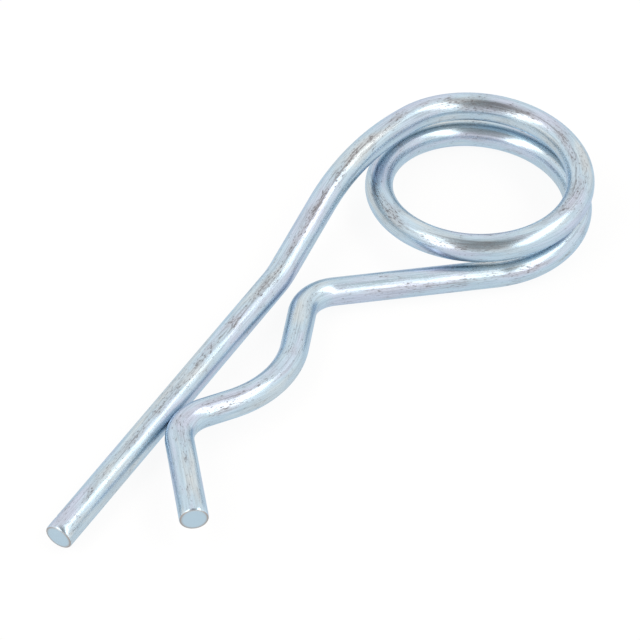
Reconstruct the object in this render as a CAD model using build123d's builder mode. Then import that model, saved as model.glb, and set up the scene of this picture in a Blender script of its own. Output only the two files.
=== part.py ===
from build123d import *
from math import radians, tan
import os

# Hairpin cotter pin with a double ring, bent from one length of round spring
# steel wire.  All sizes are in millimetres.  The wire starts at the tip of the
# straight leg, climbs to the top of the ring, winds down through the ring and
# runs out along the wavy leg.  The finished pin lies on z = 0 the way it comes
# to rest on a flat surface.

# ---------------------------------------------------------------- wire
wire_diameter = 4.0
end_chamfer = 0.3  # broken edge on both sheared ends

# ---------------------------------------------------------------- ring
ring_bore = 24.8  # clear hole through the ring
ring_sweep = 570.0  # degrees of wire wound into the ring
turn_gap = 0.9  # daylight between the two turns
ring_radius = (ring_bore + wire_diameter) / 2
turn_pitch = wire_diameter + turn_gap
ring_height = turn_pitch * ring_sweep / 360

# ---------------------------------------------------------------- straight leg
shoulder_run = 11.5  # ring tangent to the shoulder bend
shoulder_turn = 19.5  # degrees
shoulder_radius = 50.0
run_share = 0.97  # most of its run that the shoulder bend may take up
neck_run = 24.7  # shoulder bend to the neck bend
neck_turn = -5.2
neck_radius = 18.0
tail_run = 57.6  # neck bend to the tip, the part that enters the hole
neck_height = 3.5  # centreline heights above the lower end of the ring
tip_height = 0.2

# ---------------------------------------------------------------- wavy leg
relief_run = 1.2  # short run that takes the helix slope out of the wire
relief_radius = 16.0
heel_turn = 66.4  # bend beside the straight leg
heel_radius = 6.2
heel_gap = 1.0  # daylight to the straight leg
heel_height = 1.6
belly_run = 20.0  # heel bend to the belly bend, around the shaft
belly_turn = -53.6
belly_radius = 16.8
belly_height = 2.1
crest_turn = 69.7  # pinch point against the straight leg
crest_radius = 6.2
crest_gap = 0.05  # the crest all but touches the straight leg
crest_height = 2.5
flare_run = 19.6  # crest to the lifting end
flare_height = 3.0

# Where the pin touches the surface under the ring, measured back from the
# ring's lower end.
seat_sweep = 175.0

os.makedirs("parts", exist_ok=True)


def in_plan(direction):
    """Unit vector of a direction, looking straight down."""
    return Vector(direction.X, direction.Y, 0).normalized()


def corner(start, heading, run, height):
    """Next corner of a leg, a run away in plan and at a stated height."""
    spot = start + heading * run
    return Vector(spot.X, spot.Y, height)


def run_beside(start, heading, turn, radius, leg_point, leg_heading, distance):
    """Run after which a bend passes a straight line at a plan distance.

    The bend turns the wire by a signed angle and bulges towards the line.  The
    start shows which side of the line the wire is on.
    """
    side = leg_heading.rotate(Axis.Z, 90)
    if (start - leg_point).dot(side) < 0:
        side = side * -1
    leaving = heading.rotate(Axis.Z, turn)
    half_cosine = abs(heading + leaving) / 2
    to_centre = (leaving - heading).normalized() * (radius / half_cosine)
    start_distance = (start - leg_point).dot(side)
    corner_distance = distance + radius - to_centre.dot(side)
    return (corner_distance - start_distance) / heading.dot(side)


def fitted_radius(radius, before, bend, after):
    """Radius of a bend, no larger than the shorter of its two runs allows."""
    arriving = bend - before
    leaving = after - bend
    half_turn = radians(arriving.get_angle(leaving)) / 2
    shorter_run = min(abs(arriving), abs(leaving))
    return min(radius, run_share * shorter_run / tan(half_turn))


def straight_leg(ring):
    """Corner points of the straight leg, from the ring's upper end outwards."""
    tangent = ring % 1
    top = ring @ 1
    heading = in_plan(tangent)
    climb = tangent.Z / abs(Vector(tangent.X, tangent.Y, 0))
    shoulder = corner(top, heading, shoulder_run, top.Z + climb * shoulder_run)
    heading = heading.rotate(Axis.Z, shoulder_turn)
    neck = corner(shoulder, heading, neck_run, neck_height)
    heading = heading.rotate(Axis.Z, neck_turn)
    tip = corner(neck, heading, tail_run, tip_height)
    return [top, shoulder, neck, tip]


def wavy_leg(ring, straight):
    """Corner points of the wavy leg, from the ring's lower end outwards."""
    top, shoulder, neck, tip = straight
    tangent = (ring % 0) * -1
    bottom = ring @ 0
    heading = in_plan(tangent)
    fall = tangent.Z / abs(Vector(tangent.X, tangent.Y, 0))
    relief = corner(bottom, heading, relief_run, bottom.Z + fall * relief_run)

    run = run_beside(
        relief,
        heading,
        heel_turn,
        heel_radius,
        neck,
        in_plan(neck - shoulder),
        wire_diameter + heel_gap,
    )
    heel = corner(relief, heading, run, heel_height)

    heading = heading.rotate(Axis.Z, heel_turn)
    belly = corner(heel, heading, belly_run, belly_height)

    heading = heading.rotate(Axis.Z, belly_turn)
    run = run_beside(
        belly,
        heading,
        crest_turn,
        crest_radius,
        neck,
        in_plan(tip - neck),
        wire_diameter + crest_gap,
    )
    crest = corner(belly, heading, run, crest_height)

    heading = heading.rotate(Axis.Z, crest_turn)
    end = corner(crest, heading, flare_run, flare_height)
    return [bottom, relief, heel, belly, crest, end]


# ---------------------------------------------------------------- wire route
with BuildLine() as route:
    ring = Helix(pitch=turn_pitch, height=ring_height, radius=ring_radius)
    straight = straight_leg(ring)
    shoulder_fitted = fitted_radius(shoulder_radius, *straight[:3])
    FilletPolyline(*straight, radius=[shoulder_fitted, neck_radius])
    wavy = wavy_leg(ring, straight)
    FilletPolyline(
        *wavy, radius=[relief_radius, heel_radius, belly_radius, crest_radius]
    )

# ---------------------------------------------------------------- bent wire
tip = straight[-1]
flare_end = wavy[-1]
with BuildPart() as bent_wire:
    with BuildSketch(Plane(origin=tip, z_dir=straight[-2] - tip)):
        Circle(wire_diameter / 2)
    sweep(path=route.wire())
    sheared_ends = [
        bent_wire.edges().filter_by(GeomType.CIRCLE).sort_by_distance(spot)[0]
        for spot in (tip, flare_end)
    ]
    chamfer(sheared_ends, length=end_chamfer)

# ---------------------------------------------------------------- as it lies
# The pin rests on the ring's lower end, on the far side of the ring and on
# the tip of the straight leg.
ring_foot = ring @ 0
ring_seat = ring @ (seat_sweep / ring_sweep)
up = (ring_seat - ring_foot).cross(tip - ring_foot)
if up.Z < 0:
    up = up * -1
lying = Plane(origin=tip, x_dir=straight[-2] - tip, z_dir=up)
with BuildPart() as cotter_pin:
    add(lying.to_local_coords(bent_wire.part))
    box = cotter_pin.part.bounding_box()
    foot = Vector(box.center().X, box.center().Y, box.min.Z)
cotter_pin.part = cotter_pin.part.translate(foot * -1)
cotter_pin.part.label = "cotter_pin"

export_step(cotter_pin.part, "parts/cotter_pin.step")
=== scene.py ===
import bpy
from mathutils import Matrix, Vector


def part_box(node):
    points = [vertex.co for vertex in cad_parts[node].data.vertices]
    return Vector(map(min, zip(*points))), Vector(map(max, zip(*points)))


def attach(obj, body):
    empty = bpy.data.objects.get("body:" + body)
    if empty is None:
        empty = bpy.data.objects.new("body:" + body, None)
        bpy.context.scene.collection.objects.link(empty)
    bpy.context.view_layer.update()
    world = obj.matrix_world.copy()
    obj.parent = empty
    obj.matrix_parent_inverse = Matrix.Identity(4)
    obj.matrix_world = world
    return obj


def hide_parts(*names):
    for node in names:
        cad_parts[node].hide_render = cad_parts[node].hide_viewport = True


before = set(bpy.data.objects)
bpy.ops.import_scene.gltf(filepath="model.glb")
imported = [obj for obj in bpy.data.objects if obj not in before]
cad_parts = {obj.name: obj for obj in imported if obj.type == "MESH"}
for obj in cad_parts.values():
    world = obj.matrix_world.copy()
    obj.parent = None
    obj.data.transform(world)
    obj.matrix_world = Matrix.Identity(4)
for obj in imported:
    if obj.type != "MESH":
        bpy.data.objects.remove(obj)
# The imported CAD node gives the place and the floor level.  The shown wire is a finer tube along
# the same centreline, with sheared ends, tool nicks and a plated finish that follows the wire
# round every bend.
"""Hairpin cotter pin: one bent, zinc-plated spring wire on a pale studio floor.

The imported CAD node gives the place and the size.  The shown wire is a finer
tube along the same centreline, with sheared ends, tool nicks and a plated
finish that follows the wire round every bend.
"""

import logging
import math
from dataclasses import dataclass, field
from enum import Enum

import bpy
import numpy as np
from mathutils import Matrix, Quaternion, Vector

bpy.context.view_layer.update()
MM = 0.001
NODE = "cotter_pin"
BODY = "root"

logging.basicConfig(level=logging.INFO, format="%(name)s: %(message)s")
log = logging.getLogger("cotter_pin")


# --------------------------------------------------------------------------
# Small shared tools
# --------------------------------------------------------------------------
def linear(hex_colour: str, alpha: float = 1.0) -> tuple[float, float, float, float]:
    """Turns an sRGB hex colour into linear values.

    Args:
        hex_colour: colour as "#rrggbb".
        alpha: fourth value of the result.

    Returns:
        Linear red, green, blue and alpha.
    """
    srgb = np.array([int(hex_colour[i : i + 2], 16) for i in (1, 3, 5)]) / 255.0
    flat = np.where(srgb <= 0.04045, srgb / 12.92, ((srgb + 0.055) / 1.055) ** 2.4)
    return (float(flat[0]), float(flat[1]), float(flat[2]), alpha)


def unit(vectors: np.ndarray) -> np.ndarray:
    """Scales vectors, one or a whole array of rows, to length one."""
    return vectors / np.linalg.norm(vectors, axis=-1, keepdims=True)


def bell(offset: np.ndarray, width: float) -> np.ndarray:
    """Bell curve: e to the minus square of the offset over the width."""
    return np.exp(-((offset / width) ** 2))


def angle_from(angle: np.ndarray, degrees: float) -> np.ndarray:
    """Signed turn from an angle in degrees to others in radians, the short way."""
    return np.angle(np.exp(1j * (angle - math.radians(degrees))))


def turned(vector: np.ndarray, degrees: float) -> np.ndarray:
    """Turns a vector about +Z by an angle in degrees."""
    angle = math.radians(degrees)
    cosine, sine = math.cos(angle), math.sin(angle)
    x, y, z = vector
    return np.array([cosine * x - sine * y, sine * x + cosine * y, z])


def add_node(
    tree: bpy.types.NodeTree,
    kind: str,
    inputs: dict[str | int, object] | None = None,
    **settings: object,
) -> bpy.types.Node:
    """Adds a node, gives it its settings, and sets or links its inputs.

    Args:
        tree: node tree that gets the node.
        kind: Blender's name of the node type.
        inputs: socket name or number to a plain value or to an output socket.
        settings: attributes of the node itself.

    Returns:
        The new node.
    """
    node = tree.nodes.new(kind)
    for name, value in settings.items():
        setattr(node, name, value)
    for key, value in (inputs or {}).items():
        if isinstance(value, bpy.types.NodeSocket):
            tree.links.new(value, node.inputs[key])
        else:
            node.inputs[key].default_value = value
    return node


def set_ramp(node: bpy.types.Node, stops: list[tuple[float, tuple]]) -> None:
    """Gives a colour ramp its stops.

    Args:
        node: colour ramp node.
        stops: position and linear colour of each stop, in order.
    """
    elements = node.color_ramp.elements
    while len(elements) < len(stops):
        elements.new(0.5)
    for element, (position, colour) in zip(elements, stops):
        element.position = position
        element.color = colour


# --------------------------------------------------------------------------
# Finishes
# --------------------------------------------------------------------------
@dataclass(frozen=True)
class ZincPlate:
    """Bright zinc, electroplated on drawn spring wire, clear blue passivated.

    The eye gets a satin blue-grey metal.  Drawing lines run along the wire and
    spread each highlight round it, the passivation film drifts between blue,
    lavender and straw, and rubbed upper faces carry dark specks.  The marked
    places are also dulled darker, partly as painted dark reflection beside
    the highlights.
    """

    name: str = "zinc_plate_blue_passivated"
    blue: str = "#b8cedd"
    lavender: str = "#bfc9db"
    straw: str = "#c6d0d5"
    glancing: str = "#e4eff8"  # tint where the film is seen at a low angle
    rubbed_and_dark_reflection: str = "#a3a5aa"  # dulled plate on the rubbed places, and painted dark reflection beside the highlights
    speck: str = "#666265"
    roughness: float = 0.25
    anisotropy: float = 0.45
    tint_size: tuple[float, float] = (3.0, 14.0)  # mm round and along the wire
    line_size: tuple[float, float] = (0.20, 6.0)  # drawn coarser than the 0.03 mm real
    speck_size: tuple[float, float] = (0.17, 0.60)
    patch_size: tuple[float, float] = (1.1, 3.5)
    grain_size: tuple[float, float] = (0.30, 0.55)
    line_height: float = 0.009  # mm
    grain_height: float = 0.005  # mm

    def stretched(
        self, tree: bpy.types.NodeTree, place: bpy.types.NodeSocket, size: tuple[float, float]
    ) -> bpy.types.NodeSocket:
        """Scales wire space so that one unit is a pattern's real size.

        Args:
            tree: node tree that gets the node.
            place: wire-space position in millimetres.
            size: pattern size round and along the wire, in millimetres.

        Returns:
            Scaled position.
        """
        scale = (1.0 / size[0], 1.0 / size[0], 1.0 / size[1])
        node = add_node(tree, "ShaderNodeVectorMath", {0: place, 1: scale}, operation="MULTIPLY")
        return node.outputs["Vector"]

    def noise(
        self,
        tree: bpy.types.NodeTree,
        place: bpy.types.NodeSocket,
        size: tuple[float, float],
        detail: float,
    ) -> bpy.types.NodeSocket:
        """Noise of a real size in wire space.

        Args:
            tree: node tree that gets the nodes.
            place: wire-space position in millimetres.
            size: size of the noise round and along the wire, in millimetres.
            detail: how many finer layers the noise has.

        Returns:
            Value from 0 to 1.
        """
        vector = self.stretched(tree, place, size)
        node = add_node(
            tree,
            "ShaderNodeTexNoise",
            {"Vector": vector, "Scale": 1.0, "Detail": detail, "Roughness": 0.55},
        )
        return node.outputs["Fac"]

    def mapped(
        self,
        tree: bpy.types.NodeTree,
        value: bpy.types.NodeSocket,
        source: tuple[float, float],
        target: tuple[float, float],
    ) -> bpy.types.NodeSocket:
        """Maps a value from one range to another, held at both ends.

        Args:
            tree: node tree that gets the node.
            value: value to map.
            source: range that the value is read in.
            target: range that it is brought to.

        Returns:
            Mapped value.
        """
        node = add_node(
            tree,
            "ShaderNodeMapRange",
            {0: value, 1: source[0], 2: source[1], 3: target[0], 4: target[1]},
            clamp=True,
        )
        return node.outputs[0]

    def film(
        self,
        tree: bpy.types.NodeTree,
        place: bpy.types.NodeSocket,
        lines: bpy.types.NodeSocket,
    ) -> bpy.types.NodeSocket:
        """Colour of the clean plate: drifting film, darkened by drawing lines.

        Args:
            tree: node tree that gets the nodes.
            place: wire-space position in millimetres.
            lines: noise of the drawing lines.

        Returns:
            Colour.
        """
        tint = self.noise(tree, place, self.tint_size, 3.0)
        ramp = add_node(tree, "ShaderNodeValToRGB", {"Fac": tint})
        set_ramp(
            ramp,
            [
                (0.36, linear(self.lavender)),
                (0.50, linear(self.blue)),
                (0.66, linear(self.straw)),
            ],
        )
        # Drawing lines darken the plate a little where they gather.
        shade = self.mapped(tree, lines, (0.30, 0.70), (0.84, 1.08))
        lined = add_node(
            tree,
            "ShaderNodeVectorMath",
            {0: ramp.outputs["Color"], "Scale": shade},
            operation="SCALE",
        )
        return lined.outputs["Vector"]

    def worn_with_dark_reflection(
        self,
        tree: bpy.types.NodeTree,
        place: bpy.types.NodeSocket,
        lines: bpy.types.NodeSocket,
        clean: bpy.types.NodeSocket,
    ) -> tuple[bpy.types.NodeSocket, bpy.types.NodeSocket]:
        """Dulls and specks the clean plate on the marked places: real rubbing and specks, plus
        painted dark reflection beside the highlights.

        Args:
            tree: node tree that gets the nodes.
            place: wire-space position in millimetres.
            lines: noise of the drawing lines.
            clean: colour of the clean plate.

        Returns:
            Colour, and how much of it is dark speck.
        """
        wear_and_dark_reflection = add_node(tree, "ShaderNodeAttribute", attribute_name="wear_and_dark_reflection").outputs["Fac"]
        patches = self.noise(tree, place, self.patch_size, 2.0)
        specks = self.noise(tree, place, self.speck_size, 5.0)
        # Dulling and specks show where the patch noise and the marked places add up; the dulling
        # is partly painted dark reflection.
        rubbed_and_dark_reflection = add_node(
            tree, "ShaderNodeMath", {0: wear_and_dark_reflection, 1: 0.30, 2: patches}, operation="MULTIPLY_ADD"
        ).outputs[0]
        dulled_and_darkened = self.mapped(tree, rubbed_and_dark_reflection, (0.55, 0.95), (0.0, 0.55))
        plate = add_node(
            tree,
            "ShaderNodeMix",
            {0: dulled_and_darkened, 6: clean, 7: linear(self.rubbed_and_dark_reflection)},
            data_type="RGBA",
        ).outputs[2]
        crowd = self.mapped(tree, rubbed_and_dark_reflection, (0.46, 0.95), (0.0, 0.17))
        level = add_node(
            tree, "ShaderNodeMath", {0: specks, 1: crowd}, operation="ADD"
        ).outputs[0]
        dots = self.mapped(tree, level, (0.63, 0.75), (0.0, 0.74))
        # Drawing lines fill with the same dark residue where the wire is rubbed.
        deep = self.mapped(tree, lines, (0.36, 0.47), (0.60, 0.0))
        filled = add_node(
            tree, "ShaderNodeMath", {0: deep, 1: wear_and_dark_reflection}, operation="MULTIPLY", use_clamp=True
        ).outputs[0]
        speck_mask = add_node(
            tree, "ShaderNodeMath", {0: dots, 1: filled}, operation="MAXIMUM"
        ).outputs[0]
        colour = add_node(
            tree,
            "ShaderNodeMix",
            {0: speck_mask, 6: plate, 7: linear(self.speck)},
            data_type="RGBA",
        ).outputs[2]
        return colour, speck_mask

    def texture(
        self,
        tree: bpy.types.NodeTree,
        place: bpy.types.NodeSocket,
        lines: bpy.types.NodeSocket,
    ) -> bpy.types.NodeSocket:
        """Fine relief: drawing lines, with the grain of the plate over them.

        Args:
            tree: node tree that gets the nodes.
            place: wire-space position in millimetres.
            lines: noise of the drawing lines.

        Returns:
            Normal.
        """
        grain = self.noise(tree, place, self.grain_size, 3.0)
        line_bump = add_node(
            tree,
            "ShaderNodeBump",
            {"Strength": 1.0, "Distance": self.line_height * MM, "Height": lines},
        ).outputs["Normal"]
        grain_bump = add_node(
            tree,
            "ShaderNodeBump",
            {
                "Strength": 1.0,
                "Distance": self.grain_height * MM,
                "Height": grain,
                "Normal": line_bump,
            },
        )
        return grain_bump.outputs["Normal"]

    def build(self) -> bpy.types.Material:
        """Makes the material.

        Returns:
            Material for the drawn and plated side of the wire.
        """
        material = bpy.data.materials.new(self.name)
        material.use_nodes = True
        tree = material.node_tree
        shader = tree.nodes["Principled BSDF"]
        place = add_node(tree, "ShaderNodeAttribute", attribute_name="wire_mm").outputs["Vector"]
        lines = self.noise(tree, place, self.line_size, 4.0)
        colour, speck_mask = self.worn_with_dark_reflection(tree, place, lines, self.film(tree, place, lines))
        rough = self.mapped(
            tree, lines, (0.25, 0.75), (self.roughness - 0.06, self.roughness + 0.08)
        )
        rougher = add_node(
            tree, "ShaderNodeMath", {0: speck_mask, 1: 0.30, 2: rough}, operation="MULTIPLY_ADD"
        ).outputs[0]
        tangent = add_node(
            tree, "ShaderNodeTangent", direction_type="UV_MAP", uv_map="wire_uv"
        ).outputs["Tangent"]

        shader.inputs["Metallic"].default_value = 1.0
        shader.inputs["Specular Tint"].default_value = linear(self.glancing)
        shader.inputs["Anisotropic"].default_value = self.anisotropy
        tree.links.new(colour, shader.inputs["Base Color"])
        tree.links.new(rougher, shader.inputs["Roughness"])
        tree.links.new(self.texture(tree, place, lines), shader.inputs["Normal"])
        tree.links.new(tangent, shader.inputs["Tangent"])
        return material


@dataclass(frozen=True)
class ShearedSteel:
    """Sheared end of the wire, plated after cutting.

    The cut is matt and even, with faint lines across it and a brownish rim
    where the plate is thin on the edge.
    """

    name: str = "sheared_end_zinc_plate"
    face: str = "#b5cbd9"
    rim: str = "#a29a95"
    roughness: float = 0.46
    cut_line: float = 0.35  # mm between the shear lines

    def build(self) -> bpy.types.Material:
        """Makes the material.

        Returns:
            Material for the two cut faces and their broken edges.
        """
        material = bpy.data.materials.new(self.name)
        material.use_nodes = True
        tree = material.node_tree
        shader = tree.nodes["Principled BSDF"]
        place = add_node(tree, "ShaderNodeAttribute", attribute_name="wire_mm").outputs["Vector"]
        edge = add_node(tree, "ShaderNodeAttribute", attribute_name="rim").outputs["Fac"]
        scaled = add_node(
            tree,
            "ShaderNodeVectorMath",
            {0: place, 1: (1.0 / self.cut_line, 0.25 / self.cut_line, 1.0)},
            operation="MULTIPLY",
        ).outputs["Vector"]
        lines = add_node(
            tree,
            "ShaderNodeTexNoise",
            {"Vector": scaled, "Scale": 1.0, "Detail": 4.0, "Roughness": 0.6},
        ).outputs["Fac"]
        colour = add_node(
            tree,
            "ShaderNodeMix",
            {0: edge, 6: linear(self.face), 7: linear(self.rim)},
            data_type="RGBA",
        ).outputs[2]
        bump = add_node(
            tree,
            "ShaderNodeBump",
            {"Strength": 0.6, "Distance": 0.02 * MM, "Height": lines},
        ).outputs["Normal"]
        shader.inputs["Metallic"].default_value = 1.0
        shader.inputs["Roughness"].default_value = self.roughness
        tree.links.new(colour, shader.inputs["Base Color"])
        tree.links.new(bump, shader.inputs["Normal"])
        return material


@dataclass(frozen=True)
class PaperFloor:
    """Seamless white background paper: plain, matt and evenly lit."""

    name: str = "background_paper"
    colour: str = "#f4f5f6"
    even_light: float = 0.90  # share of plain white in what camera, metal and glass see

    def build(self) -> bpy.types.Material:
        """Makes the material.

        Returns:
            Matt paper that keeps the shadow and still reads as white.
        """
        material = bpy.data.materials.new(self.name)
        material.use_nodes = True
        tree = material.node_tree
        tree.nodes.remove(tree.nodes["Principled BSDF"])
        output = tree.nodes["Material Output"]
        path = add_node(tree, "ShaderNodeLightPath").outputs
        seen = path["Is Camera Ray"]
        for ray in ("Is Glossy Ray", "Is Transmission Ray"):
            seen = add_node(
                tree, "ShaderNodeMath", {0: seen, 1: path[ray]}, operation="MAXIMUM"
            ).outputs[0]
        share = add_node(
            tree, "ShaderNodeMath", {0: seen, 1: self.even_light}, operation="MULTIPLY"
        ).outputs[0]
        matt = add_node(tree, "ShaderNodeBsdfDiffuse", {"Color": linear(self.colour)})
        white = add_node(
            tree, "ShaderNodeEmission", {"Color": linear("#ffffff"), "Strength": 1.0}
        )
        mix = add_node(
            tree, "ShaderNodeMixShader", {0: share, 1: matt.outputs[0], 2: white.outputs[0]}
        )
        tree.links.new(mix.outputs[0], output.inputs["Surface"])
        return material


# --------------------------------------------------------------------------
# Wire
# --------------------------------------------------------------------------
class Leg(Enum):
    """The two legs that leave the ring."""

    STRAIGHT = "straight"
    WAVY = "wavy"


@dataclass
class WireRoute:
    """Centreline of the bent wire, with the sizes of the bends in millimetres."""

    wire_diameter: float = 4.0
    ring_bore: float = 24.8
    ring_sweep: float = 570.0
    turn_gap: float = 0.9
    shoulder_run: float = 11.5
    shoulder_turn: float = 19.5
    shoulder_radius: float = 50.0
    neck_run: float = 24.7
    neck_turn: float = -5.2
    neck_radius: float = 18.0
    tail_run: float = 57.6
    neck_height: float = 3.5
    tip_height: float = 0.2
    relief_run: float = 1.2
    relief_radius: float = 16.0
    heel_turn: float = 66.4
    heel_radius: float = 6.2
    heel_gap: float = 1.0
    heel_height: float = 1.6
    belly_run: float = 20.0
    belly_turn: float = -53.6
    belly_radius: float = 16.8
    belly_height: float = 2.1
    crest_turn: float = 69.7
    crest_radius: float = 6.2
    crest_gap: float = 0.05
    crest_height: float = 2.5
    flare_run: float = 19.6
    flare_height: float = 3.0
    seat_sweep: float = 175.0
    fine_step: float = 0.02

    def ring_point(self, degrees: np.ndarray | float) -> np.ndarray:
        """Points of the ring's helix.

        The ring radius times cosine and sine of the angle, rising by one
        pitch for each full turn.

        Args:
            degrees: angle or angles from the ring's lower end.

        Returns:
            Point, or one row for each angle.
        """
        angle = np.radians(degrees)
        radius = (self.ring_bore + self.wire_diameter) / 2
        pitch = self.wire_diameter + self.turn_gap
        return np.stack(
            [radius * np.cos(angle), radius * np.sin(angle), pitch * angle / (2 * np.pi)],
            axis=-1,
        )

    def ring_tangent(self, degrees: float) -> tuple[np.ndarray, float]:
        """Heading in plan and climb of the helix at an angle."""
        radius = (self.ring_bore + self.wire_diameter) / 2
        pitch = self.wire_diameter + self.turn_gap
        heading = turned(np.array([0.0, 1.0, 0.0]), degrees)
        return heading, pitch / (2 * np.pi * radius)

    @staticmethod
    def corner(start: np.ndarray, heading: np.ndarray, run: float, height: float) -> np.ndarray:
        """Next corner, a run away in plan and at a stated height."""
        spot = start + heading * run
        return np.array([spot[0], spot[1], height])

    @staticmethod
    def run_beside(
        start: np.ndarray,
        heading: np.ndarray,
        turn: float,
        radius: float,
        line: tuple[np.ndarray, np.ndarray],
        distance: float,
    ) -> float:
        """Run after which a bend passes a straight line at a plan distance.

        The bend's centre lies on the bisector of its corner, and its near side
        is one radius nearer to the line than that centre.

        Args:
            start: corner before the bend.
            heading: plan direction of the run.
            turn: signed turn of the bend in degrees.
            radius: bend radius.
            line: point and plan direction of the line.
            distance: wanted distance between centreline and line.

        Returns:
            Length of the run in plan.
        """
        point, along = line
        side = turned(along, 90.0)
        side = side * (1.0 if (start - point) @ side > 0 else -1.0)
        leaving = turned(heading, turn)
        half_cosine = np.linalg.norm(heading + leaving) / 2
        to_centre = unit(leaving - heading) * radius / half_cosine
        wanted = distance + radius - to_centre @ side
        return float((wanted - (start - point) @ side) / (heading @ side))

    def straight_corners(self) -> np.ndarray:
        """Corners of the straight leg, from the ring's upper end outwards."""
        top = self.ring_point(self.ring_sweep)
        heading, climb = self.ring_tangent(self.ring_sweep)
        rise = top[2] + climb * self.shoulder_run
        shoulder = self.corner(top, heading, self.shoulder_run, rise)
        heading = turned(heading, self.shoulder_turn)
        neck = self.corner(shoulder, heading, self.neck_run, self.neck_height)
        heading = turned(heading, self.neck_turn)
        tip = self.corner(neck, heading, self.tail_run, self.tip_height)
        return np.array([top, shoulder, neck, tip])

    def wavy_corners(self) -> np.ndarray:
        """Corners of the wavy leg, from the ring's lower end outwards."""
        top, shoulder, neck, tip = self.straight_corners()
        in_plan = np.array([1.0, 1.0, 0.0])
        bottom = self.ring_point(0.0)
        heading, climb = self.ring_tangent(0.0)
        heading = -heading
        relief = self.corner(bottom, heading, self.relief_run, -climb * self.relief_run)
        beside_neck = (neck, unit((neck - shoulder) * in_plan))
        distance = self.wire_diameter + self.heel_gap
        run = self.run_beside(
            relief, heading, self.heel_turn, self.heel_radius, beside_neck, distance
        )
        heel = self.corner(relief, heading, run, self.heel_height)
        heading = turned(heading, self.heel_turn)
        belly = self.corner(heel, heading, self.belly_run, self.belly_height)
        heading = turned(heading, self.belly_turn)
        beside_tail = (neck, unit((tip - neck) * in_plan))
        distance = self.wire_diameter + self.crest_gap
        run = self.run_beside(
            belly, heading, self.crest_turn, self.crest_radius, beside_tail, distance
        )
        crest = self.corner(belly, heading, run, self.crest_height)
        heading = turned(heading, self.crest_turn)
        end = self.corner(crest, heading, self.flare_run, self.flare_height)
        return np.array([bottom, relief, heel, belly, crest, end])

    def filleted(self, corners: np.ndarray, radii: list[float]) -> np.ndarray:
        """Straight runs through the corners, joined by tangent arcs.

        Each arc keeps its radius from a centre on the corner's bisector.

        Args:
            corners: one row for each corner, the two ends included.
            radii: bend radius at each inner corner.

        Returns:
            Closely spaced points, one row each.
        """
        pieces = []
        start = corners[0]
        for before, here, after, radius in zip(corners, corners[1:], corners[2:], radii):
            arriving, leaving = unit(here - before), unit(after - here)
            angle = math.acos(float(np.clip(arriving @ leaving, -1.0, 1.0)))
            reach = radius * math.tan(angle / 2)
            first, last = here - arriving * reach, here + leaving * reach
            centre = here + unit(leaving - arriving) * radius / math.cos(angle / 2)
            pieces.append(self.run_points(start, first))
            count = max(4, int(angle * radius / self.fine_step))
            sweep = np.linspace(0.0, angle, count)[:-1, None]
            outward = (first - centre) / radius
            arc = centre + radius * (np.cos(sweep) * outward + np.sin(sweep) * arriving)
            pieces.append(arc)
            start = last
        pieces.append(self.run_points(start, corners[-1]))
        pieces.append(corners[-1][None, :])
        return np.vstack(pieces)

    def run_points(self, start: np.ndarray, end: np.ndarray) -> np.ndarray:
        """Evenly spaced points from start up to, and without, end."""
        count = max(3, int(np.linalg.norm(end - start) / self.fine_step))
        share = np.linspace(0.0, 1.0, count)[:-1, None]
        return start + share * (end - start)

    def leg(self, which: Leg) -> np.ndarray:
        """Points of one leg, from the ring outwards."""
        if which is Leg.STRAIGHT:
            return self.filleted(
                self.straight_corners(), [self.shoulder_radius, self.neck_radius]
            )
        radii = [self.relief_radius, self.heel_radius, self.belly_radius, self.crest_radius]
        return self.filleted(self.wavy_corners(), radii)

    def lying(self) -> np.ndarray:
        """Axes of the surface that the pin rests on, as rows.

        The surface goes through the ring's lower end, the far side of the ring
        and the tip, and its first axis runs back along the straight leg.
        """
        top, shoulder, neck, tip = self.straight_corners()
        foot, seat = self.ring_point(0.0), self.ring_point(self.seat_sweep)
        up = unit(np.cross(seat - foot, tip - foot))
        up = up * (1.0 if up[2] > 0 else -1.0)
        along = neck - tip
        along = unit(along - (along @ up) * up)
        return np.array([along, np.cross(up, along), up])

    def centreline(self, spacing: float) -> np.ndarray:
        """Evenly spaced centreline, from the flared end to the tip.

        Args:
            spacing: distance between points in millimetres.

        Returns:
            Points as the pin lies, one row each, in millimetres.
        """
        ring_length = math.radians(self.ring_sweep) * (self.ring_bore + self.wire_diameter) / 2
        angles = np.linspace(0.0, self.ring_sweep, int(ring_length / self.fine_step))
        dense = np.vstack(
            [
                self.leg(Leg.WAVY)[::-1],
                self.ring_point(angles)[1:-1],
                self.leg(Leg.STRAIGHT),
            ]
        )
        steps = np.linalg.norm(np.diff(dense, axis=0), axis=1)
        dense = dense[np.concatenate([[True], steps > 1e-9])]
        length = np.concatenate([[0.0], np.cumsum(np.linalg.norm(np.diff(dense, axis=0), axis=1))])
        count = int(round(length[-1] / spacing)) + 1
        wanted = np.linspace(0.0, length[-1], count)
        even = np.stack([np.interp(wanted, length, dense[:, i]) for i in range(3)], axis=1)
        return even @ self.lying().T


@dataclass(frozen=True)
class WearAndDarkReflectionMark:
    """A rubbed or speckled place on the wire; on the straight leg and the ring's far top it is
    also painted dark reflection.

    Place and size are millimetres along the wire from its flared end, and
    degrees round it, where 90 is the top.
    """

    along: float
    around: float
    length: float
    width: float
    strength: float = 1.0


@dataclass(frozen=True)
class ToolNick:
    """A nick with a raised lip, left by the shear or by a bending tool."""

    from_end: float  # mm, from the flared end, or negative from the tip
    around: float
    length: float  # mm along the wire
    width: float  # degrees round the wire
    depth: float  # mm


@dataclass(frozen=True)
class ShearCut:
    """How the shear left a cut end: leaning, with its upper edge rolled over."""

    overhang: float  # mm by which the top of the face stands out
    fade: float  # mm of wire over which the lean dies away
    roll: float  # mm that the upper edge is pressed down
    roll_length: float  # mm


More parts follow.
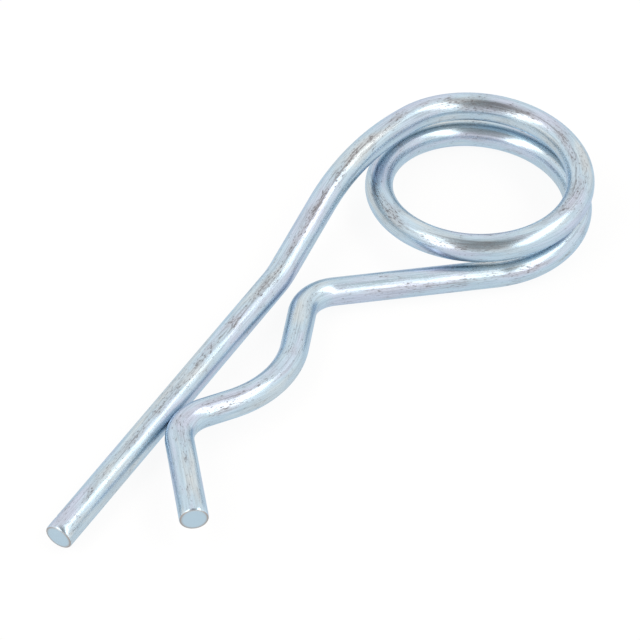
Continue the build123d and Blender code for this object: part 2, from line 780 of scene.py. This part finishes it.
@dataclass
class SpringWire:
    """The whole pin: a round tube along the route with sheared ends."""

    route: WireRoute = field(default_factory=WireRoute)
    side: ZincPlate = field(default_factory=ZincPlate)
    cut: ShearedSteel = field(default_factory=ShearedSteel)
    spacing: float = 0.25
    sides: int = 60
    end_round: float = 0.28  # mm, the broken edge
    rim_inset: float = 0.6  # brown rim's middle, in broken edges from the side
    rim_width: float = 0.16  # mm
    # Marks crowd real specks and dull the plate; those on the straight leg and the ring's far top
    # also paint the room's dark reflection beside the highlight.
    wear_and_dark_reflection_marks: tuple[WearAndDarkReflectionMark, ...] = (
        WearAndDarkReflectionMark(9.0, 80.0, 8.0, 26.0, 0.45),  # flare
        WearAndDarkReflectionMark(24.0, 88.0, 5.0, 22.0, 0.80),  # crest to belly, upper side
        WearAndDarkReflectionMark(26.0, 40.0, 5.0, 14.0, 0.75),
        WearAndDarkReflectionMark(40.0, 88.0, 8.0, 30.0, 0.45),  # belly
        WearAndDarkReflectionMark(72.0, 30.0, 16.0, 24.0, 0.80),  # heel to ring
        WearAndDarkReflectionMark(104.0, 60.0, 12.0, 30.0, 0.35),  # lower turn
        WearAndDarkReflectionMark(154.0, 56.0, 8.0, 24.0, 1.00),  # ring, beside the straight leg
        WearAndDarkReflectionMark(169.0, 50.0, 6.0, 26.0, 0.95),  # ring, near side
        WearAndDarkReflectionMark(187.0, 100.0, 8.0, 28.0, 0.85),  # ring, outer side
        WearAndDarkReflectionMark(203.0, 116.0, 12.0, 22.0, 0.75),
        WearAndDarkReflectionMark(215.0, 130.0, 7.0, 26.0, 0.95),
        WearAndDarkReflectionMark(232.0, 104.0, 9.0, 24.0, 1.00),
        WearAndDarkReflectionMark(254.0, 92.0, 18.0, 17.0, 1.30),  # shoulder to neck
        WearAndDarkReflectionMark(281.0, 92.0, 12.0, 20.0, 0.85),  # tail
        WearAndDarkReflectionMark(304.0, 90.0, 13.0, 20.0, 0.90),
    )
    shear: ShearCut = ShearCut(0.22, 3.0, 0.26, 0.9)
    nicks: tuple[ToolNick, ...] = (
        ToolNick(0.75, 104.0, 0.20, 13.0, 0.18),  # shear, flared end
        ToolNick(-2.4, 30.0, 0.16, 12.0, 0.08),  # shear, tip
        ToolNick(-58.5, 60.0, 0.14, 30.0, 0.05),  # bending tool, by the neck bend
    )
    nick_rise: float = 0.35  # height of a nick's lip as a share of its depth
    nick_reach: float = 1.6  # lengths from the middle of a nick to its lip

    def end_stations(self, radius: float) -> tuple[np.ndarray, np.ndarray]:
        """Stations that close one end of the tube, from its side inwards.

        They round the broken edge by a quarter circle and then run in over the
        cut face towards its middle.

        Args:
            radius: full wire radius.

        Returns:
            Distance of each station from the end, and its radius.
        """
        quarter = np.linspace(0.0, np.pi / 2, 6)
        edge_in = self.end_round * (1 - np.sin(quarter))
        edge_radius = radius - self.end_round * (1 - np.cos(quarter))
        face = radius - self.end_round - np.array([0.02, 0.25, 0.7, 1.15, 1.5])
        inset = np.concatenate([edge_in, np.zeros(face.size)])
        radii = np.concatenate([edge_radius, face])
        return inset, radii

    def build(self) -> bpy.types.Object:
        """Builds, places and dresses the wire.

        Returns:
            The finished object, at the origin.
        """
        centre = self.route.centreline(self.spacing)
        tangent = unit(np.gradient(centre, axis=0))
        along = np.linspace(0.0, self.spacing * (len(centre) - 1), len(centre))
        total = float(np.linalg.norm(np.diff(centre, axis=0), axis=1).sum())
        along *= total / along[-1]

        # Tube stations between the two rounded edges.
        radius = self.route.wire_diameter / 2
        inset, edge_radius = self.end_stations(radius)
        inner = along[self.from_end(along, total) > self.end_round * 1.01]
        stations = np.concatenate([inset[::-1], inner, total - inset])
        radii = np.concatenate([edge_radius[::-1], np.full(inner.size, radius), edge_radius])
        middle = np.stack([np.interp(stations, along, centre[:, i]) for i in range(3)], axis=1)
        direction = unit(
            np.stack([np.interp(stations, along, tangent[:, i]) for i in range(3)], axis=1)
        )
        sideways = unit(np.cross(direction, np.array([0.0, 0.0, 1.0])))
        upwards = np.cross(sideways, direction)

        # Surface: centre plus radius times (cosine sideways plus sine upwards).
        angle = np.linspace(0.0, 2 * np.pi, self.sides, endpoint=False) - np.pi / 2
        full = radii[:, None] + self.relief(stations, angle, total, radii, radius)
        outward = (
            np.cos(angle)[None, :, None] * sideways[:, None, :]
            + np.sin(angle)[None, :, None] * upwards[:, None, :]
        )
        plain = middle[:, None, :] + radii[:, None, None] * outward
        shift = self.placement(plain.reshape(-1, 3))
        lean = self.lean(stations, angle, total, radii / radius)
        surface = (
            middle[:, None, :]
            + full[:, :, None] * outward
            + lean[:, :, None] * direction[:, None, :]
        )
        rows, columns = surface.shape[:2]
        points = np.vstack([surface.reshape(-1, 3), middle[:1], middle[-1:]])
        faces = self.closed_faces(rows, columns)

        mesh = bpy.data.meshes.new(NODE + "_wire")
        mesh.from_pydata((points + shift) * MM, [], faces)
        mesh.update()
        mesh.polygons.foreach_set("use_smooth", np.ones(len(faces), bool))
        self.dress(mesh, rows, columns, inset.size)
        self.write_attributes(mesh, stations, full, angle, total)
        self.write_unrolled(mesh, stations, columns, total, faces)
        pin = bpy.data.objects.new("cotter_pin_wire", mesh)
        bpy.context.scene.collection.objects.link(pin)
        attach(pin, BODY)
        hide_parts(NODE)
        log.info("%s: %.1f mm of wire, %d faces", pin.name, total, len(faces))
        return pin

    @staticmethod
    def closed_faces(rows: int, columns: int) -> list[list[int]]:
        """Outward faces of a tube on a grid of points, closed at both ends.

        Points are numbered row by row, and the pole in the middle of each cut
        face comes after them.

        Args:
            rows: stations along the tube.
            columns: points round it.

        Returns:
            Corners of each face: the quads of the side, then both end fans.
        """
        grid = np.arange(rows * columns).reshape(rows, columns)
        right = np.roll(grid, -1, axis=1)
        quads = np.stack([grid[:-1], grid[1:], right[1:], right[:-1]], axis=-1).reshape(-1, 4)
        first = np.stack([grid[0], right[0], np.full(columns, rows * columns)], axis=-1)
        last = np.stack([right[-1], grid[-1], np.full(columns, rows * columns + 1)], axis=-1)
        return [*quads.tolist(), *first.tolist(), *last.tolist()]

    def dress(self, mesh: bpy.types.Mesh, rows: int, columns: int, end_rows: int) -> None:
        """Gives the side its plate, and the cut faces the sheared finish.

        The first steps of each broken edge stay with the side.

        Args:
            mesh: mesh of the wire.
            rows: stations along the tube.
            columns: points round it.
            end_rows: stations that close one end.
        """
        row_of_quad = np.repeat(np.arange(rows - 1), columns)
        cut_rows = end_rows - 3
        cut_quad = (row_of_quad < cut_rows) | (row_of_quad >= rows - 1 - cut_rows)
        slots = np.concatenate([cut_quad, np.ones(2 * columns, bool)]).astype(np.int32)
        mesh.materials.append(self.side.build())
        mesh.materials.append(self.cut.build())
        mesh.polygons.foreach_set("material_index", slots)

    def relief(
        self,
        stations: np.ndarray,
        angle: np.ndarray,
        total: float,
        radii: np.ndarray,
        radius: float,
    ) -> np.ndarray:
        """Change of radius from the nicks and from the rolled upper edge.

        A nick is a bell-shaped dent with a raised bell beside it, towards the
        middle of the wire.  The roll is a power of the sine of the angle, dying
        away as a square with the distance from the end.

        Args:
            stations: arc length of each station.
            angle: angle of each column round the wire.
            total: wire length.
            radii: radius of each station.
            radius: full wire radius.

        Returns:
            Radius change for each station and column, in millimetres.
        """
        change = np.zeros((stations.size, angle.size))
        for nick in self.nicks:
            at = nick.from_end if nick.from_end >= 0 else total + nick.from_end
            inward = 1.0 if nick.from_end >= 0 else -1.0
            lip_at = at + inward * self.nick_reach * nick.length
            dent = bell(stations - at, nick.length)
            lip = bell(stations - lip_at, nick.length)
            profile = nick.depth * (self.nick_rise * lip - dent)
            around = bell(angle_from(angle, nick.around), math.radians(nick.width))
            change += profile[:, None] * around[None, :]
        change *= (radii / radius)[:, None] ** 4
        near_end = np.clip(1 - self.from_end(stations, total) / self.shear.roll_length, 0, 1)
        top = np.clip(np.sin(angle), 0, 1) ** 1.5
        rolled = (near_end**2 * radii / radius)[:, None] * top[None, :]
        return change - self.shear.roll * rolled

    @staticmethod
    def from_end(stations: np.ndarray, total: float) -> np.ndarray:
        """Distance of each station from the nearer end."""
        return np.minimum(stations, total - stations)

    def lean(
        self, stations: np.ndarray, angle: np.ndarray, total: float, share: np.ndarray
    ) -> np.ndarray:
        """Push along the wire that makes the cut faces lean.

        The overhang times the sine of the angle, dying away as a square with
        the distance from the end, and outward at both ends.

        Args:
            stations: arc length of each station.
            angle: angle of each column.
            total: wire length.
            share: radius of each station as a share of the wire's.

        Returns:
            Push for each station and column, in millimetres.
        """
        near_end = np.clip(1 - self.from_end(stations, total) / self.shear.fade, 0, 1) ** 2
        outwards = np.where(stations < total / 2, -1.0, 1.0)
        size = self.shear.overhang * near_end * outwards * share
        return size[:, None] * np.sin(angle)[None, :]

    def placement(self, points: np.ndarray) -> np.ndarray:
        """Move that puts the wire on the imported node's own place.

        The two boxes get the same middle in plan and the same lowest level.

        Args:
            points: points of the plain tube in millimetres.

        Returns:
            Move in millimetres.
        """
        low, high = (np.array(corner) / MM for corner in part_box(NODE))
        own_low, own_high = points.min(axis=0), points.max(axis=0)
        shift = (low + high) / 2 - (own_low + own_high) / 2
        shift[2] = low[2] - own_low[2]
        return shift

    def write_attributes(
        self,
        mesh: bpy.types.Mesh,
        stations: np.ndarray,
        full: np.ndarray,
        angle: np.ndarray,
        total: float,
    ) -> None:
        """Writes wire space, wear with painted dark reflection, and rim onto the mesh's points.

        Wire space is the straightened wire: radius times cosine and sine of
        the angle, and the length along it.

        Args:
            mesh: mesh that gets the attributes.
            stations: arc length of each station.
            full: radius of each station and column.
            angle: angle of each column.
            total: wire length.
        """
        rows, columns = full.shape
        space = np.empty((rows, columns, 3))
        space[..., 0] = full * np.cos(angle)[None, :]
        space[..., 1] = full * np.sin(angle)[None, :]
        space[..., 2] = stations[:, None]
        poles = np.array([[0.0, 0.0, 0.0], [0.0, 0.0, total]])
        space = np.vstack([space.reshape(-1, 3), poles])
        vector = mesh.attributes.new("wire_mm", "FLOAT_VECTOR", "POINT")
        vector.data.foreach_set("vector", space.astype(np.float32).ravel())

        # Mask of the marks: real rubbing and specks, plus painted dark reflection.
        wear_and_dark_reflection = np.zeros((rows, columns))
        for mark in self.wear_and_dark_reflection_marks:
            around = bell(angle_from(angle, mark.around), math.radians(mark.width))
            run = bell(stations - mark.along, mark.length)
            wear_and_dark_reflection += mark.strength * run[:, None] * around[None, :]
        wear_and_dark_reflection = np.concatenate([wear_and_dark_reflection.ravel(), [0.0, 0.0]])
        scalar = mesh.attributes.new("wear_and_dark_reflection", "FLOAT", "POINT")
        scalar.data.foreach_set("value", wear_and_dark_reflection.astype(np.float32))

        reach = np.hypot(space[:, 0], space[:, 1])
        rim_radius = self.route.wire_diameter / 2 - self.rim_inset * self.end_round
        rim = bell(reach - rim_radius, self.rim_width)
        scalar = mesh.attributes.new("rim", "FLOAT", "POINT")
        scalar.data.foreach_set("value", rim.astype(np.float32))

    def write_unrolled(
        self,
        mesh: bpy.types.Mesh,
        stations: np.ndarray,
        columns: int,
        total: float,
        faces: list[list[int]],
    ) -> None:
        """Writes the unrolled map: circumference across, length up, in metres.

        Args:
            mesh: mesh that gets the map.
            stations: arc length of each station.
            columns: points round the wire.
            total: wire length.
            faces: corners of each face.
        """
        rows = stations.size
        corner_points = np.concatenate([np.asarray(face) for face in faces])
        column = np.concatenate([np.tile(np.arange(columns), rows), [0, 0]])
        row_s = np.concatenate([np.repeat(stations, columns), [0.0, total]])
        width = np.pi * self.route.wire_diameter * MM
        across = column[corner_points] / columns
        quad_corners = 4 * (rows - 1) * columns
        quad_across = across[:quad_corners].reshape(-1, 4)
        wrapped = quad_across.max(axis=1) - quad_across.min(axis=1) > 0.5
        quad_across[wrapped] = np.where(
            quad_across[wrapped] < 0.5, quad_across[wrapped] + 1.0, quad_across[wrapped]
        )
        across[:quad_corners] = quad_across.ravel()
        unrolled = np.stack([across * width, row_s[corner_points] * MM], axis=1)
        layer = mesh.uv_layers.new(name="wire_uv")
        layer.data.foreach_set("uv", unrolled.astype(np.float32).ravel())


# --------------------------------------------------------------------------
# Studio
# --------------------------------------------------------------------------
@dataclass(frozen=True)
class SoftBox:
    """A square-on soft lamp, placed round the pin from the camera's right."""

    name: str
    azimuth: float  # degrees from the camera's right, positive away from it
    elevation: float
    tilt: float  # degrees, about the line to the pin
    distance: float  # m
    width: float  # m
    height: float  # m
    radiance: float  # brightness of the lamp's own face
    colour: str = "#fff9f2"


@dataclass(frozen=True)
class Dimming:
    """A soft dark patch of the room, by angle from its middle in degrees."""

    starts: float
    ends: float
    level: float


@dataclass
class Studio:
    """Paper floor, soft boxes, pale room and the camera."""

    paper: PaperFloor = field(default_factory=PaperFloor)
    floor_radius: float = 4.0
    look_azimuth: float = 66.28  # degrees from +Y towards +X
    look_elevation: float = 45.04  # degrees down
    roll: float = 8.69  # degrees
    distance: float = 0.6244  # m
    aim: tuple[float, float, float] = (0.0006, 0.0048, 0.0040)  # m
    lens: float = 253.1  # mm
    sensor: float = 36.0  # mm
    room_colour: str = "#fffaf6"
    room_level: float = 1.2
    crew_elevation: float = 60.0  # degrees, middle of the patch on the camera's side
    crew: Dimming = Dimming(43.0, 17.0, 0.40)
    ceiling: Dimming = Dimming(31.0, 12.0, 0.60)
    boxes: tuple[SoftBox, ...] = (
        SoftBox("right_softbox", -12.0, 53.0, 27.0, 0.9, 1.17, 0.29, 2.3),
        SoftBox("left_softbox", 221.0, 41.0, -46.0, 0.9, 1.04, 0.36, 2.2),
    )

    def basis(self) -> tuple[Vector, Vector]:
        """Plan directions that the camera looks along and has on its right."""
        azimuth = math.radians(self.look_azimuth)
        ahead = Vector((math.sin(azimuth), math.cos(azimuth), 0.0))
        return ahead, Vector((ahead.y, -ahead.x, 0.0))

    def build(self) -> None:
        """Builds floor, lamps, room light and camera."""
        self.build_floor()
        for box in self.boxes:
            self.build_box(box)
        self.build_room()
        self.build_camera()

    def build_floor(self) -> None:
        """Lays the paper: a flat disc just under the pin.

        Its rim is the floor radius times cosine and sine of the angle.
        """
        angle = np.linspace(0.0, 2 * np.pi, 96, endpoint=False)
        level = float(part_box(NODE)[0][2])
        rim = np.stack(
            [
                self.floor_radius * np.cos(angle),
                self.floor_radius * np.sin(angle),
                np.full(angle.size, level),
            ],
            axis=1,
        )
        mesh = bpy.data.meshes.new("paper_floor")
        mesh.from_pydata(rim, [], [list(range(angle.size))])
        mesh.materials.append(self.paper.build())
        floor = bpy.data.objects.new("paper_floor", mesh)
        bpy.context.scene.collection.objects.link(floor)

    def build_box(self, box: SoftBox) -> None:
        """Hangs one soft box and turns it to the pin.

        Its power is radiance times area times pi.

        Args:
            box: the lamp's sizes and place.
        """
        ahead, right = self.basis()
        azimuth, elevation = math.radians(box.azimuth), math.radians(box.elevation)
        plan = right * math.cos(azimuth) + ahead * math.sin(azimuth)
        offset = plan * math.cos(elevation) + Vector((0, 0, math.sin(elevation)))
        lamp = bpy.data.lights.new(box.name, "AREA")
        lamp.shape = "RECTANGLE"
        lamp.size, lamp.size_y = box.width, box.height
        lamp.energy = box.radiance * math.pi * box.width * box.height
        lamp.color = linear(box.colour)[:3]
        item = bpy.data.objects.new(box.name, lamp)
        item.location = Vector(self.aim) + offset * box.distance
        tilt = Quaternion((0.0, 0.0, 1.0), math.radians(box.tilt))
        item.rotation_euler = (offset.to_track_quat("Z", "Y") @ tilt).to_euler()
        bpy.context.scene.collection.objects.link(item)

    def build_room(self) -> None:
        """Pale room, dimmer overhead and on the camera's side.

        Two soft dark patches multiply, each by the angle from its own middle.
        """
        world = bpy.data.worlds.new("studio_room")
        bpy.context.scene.world = world
        world.use_nodes = True
        tree = world.node_tree
        background = tree.nodes["Background"]
        ahead, _ = self.basis()
        elevation = math.radians(self.crew_elevation)
        crew = Vector((0, 0, math.sin(elevation))) - ahead * math.cos(elevation)
        direction = add_node(tree, "ShaderNodeTexCoord").outputs["Generated"]
        levels = []
        for axis, ramp in ((tuple(crew), self.crew), ((0.0, 0.0, 1.0), self.ceiling)):
            share = add_node(
                tree, "ShaderNodeVectorMath", {0: direction, 1: axis}, operation="DOT_PRODUCT"
            ).outputs["Value"]
            values = {
                0: share,
                1: math.cos(math.radians(ramp.starts)),
                2: math.cos(math.radians(ramp.ends)),
                3: 1.0,
                4: ramp.level,
            }
            level = add_node(
                tree, "ShaderNodeMapRange", values, interpolation_type="SMOOTHSTEP"
            )
            levels.append(level.outputs[0])
        both = add_node(
            tree, "ShaderNodeMath", {0: levels[0], 1: levels[1]}, operation="MULTIPLY"
        ).outputs[0]
        strength = add_node(
            tree, "ShaderNodeMath", {0: both, 1: self.room_level}, operation="MULTIPLY"
        ).outputs[0]
        background.inputs["Color"].default_value = linear(self.room_colour)
        tree.links.new(strength, background.inputs["Strength"])

    def build_camera(self) -> None:
        """Long lens looking down on the pin, rolled a little."""
        ahead, right = self.basis()
        elevation = math.radians(self.look_elevation)
        forward = ahead * math.cos(elevation) - Vector((0, 0, math.sin(elevation)))
        up = right.cross(forward)
        turn = Matrix.Rotation(-math.radians(self.roll), 3, forward)
        right, up = turn @ right, turn @ up
        lens = bpy.data.cameras.new("camera")
        lens.lens, lens.sensor_width = self.lens, self.sensor
        lens.clip_start, lens.clip_end = 0.01, 50.0
        camera = bpy.data.objects.new("camera", lens)
        axes = Matrix((right, up, -forward)).transposed()
        place = Vector(self.aim) - forward * self.distance
        camera.matrix_world = Matrix.Translation(place) @ axes.to_4x4()
        bpy.context.scene.collection.objects.link(camera)
        bpy.context.scene.camera = camera
        bpy.context.scene.view_settings.view_transform = "Standard"


def main() -> None:
    """Builds the pin and the studio."""
    pin = SpringWire().build()
    log.info("material slots: %s", [slot.name for slot in pin.material_slots])
    Studio().build()


if __name__ == "__main__":
    main()
